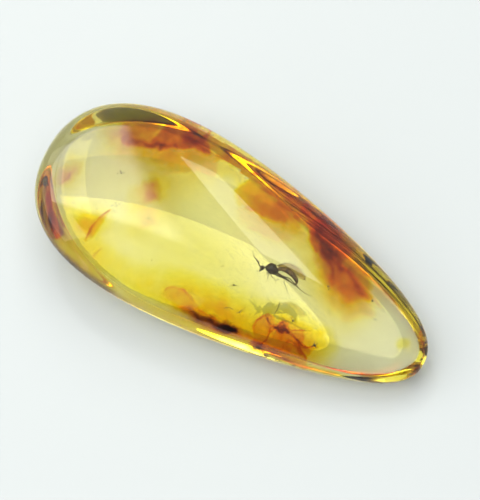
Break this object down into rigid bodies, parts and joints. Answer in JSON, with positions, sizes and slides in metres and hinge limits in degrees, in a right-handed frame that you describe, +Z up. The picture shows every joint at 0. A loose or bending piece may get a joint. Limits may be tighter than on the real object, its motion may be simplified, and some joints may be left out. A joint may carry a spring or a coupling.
{
  "type": "insect in amber",
  "caption": "Polished drop-shaped nugget of clear yellow amber that lies on a flat ground on its underside, with a small dark gnat, reddish stains and fractures sealed inside.",
  "frame": {"origin": "on the resting flat, under the middle of the stone's box", "axes": "+X along the long axis, towards the narrow nose; +Z up, through the dome"},
  "size_m": [0.036, 0.0158, 0.0093],
  "materials": {
    "amber": "polished clear"
  },
  "bodies": {
    "root": {"amber_nugget": "amber"}
  },
  "joints": []
}
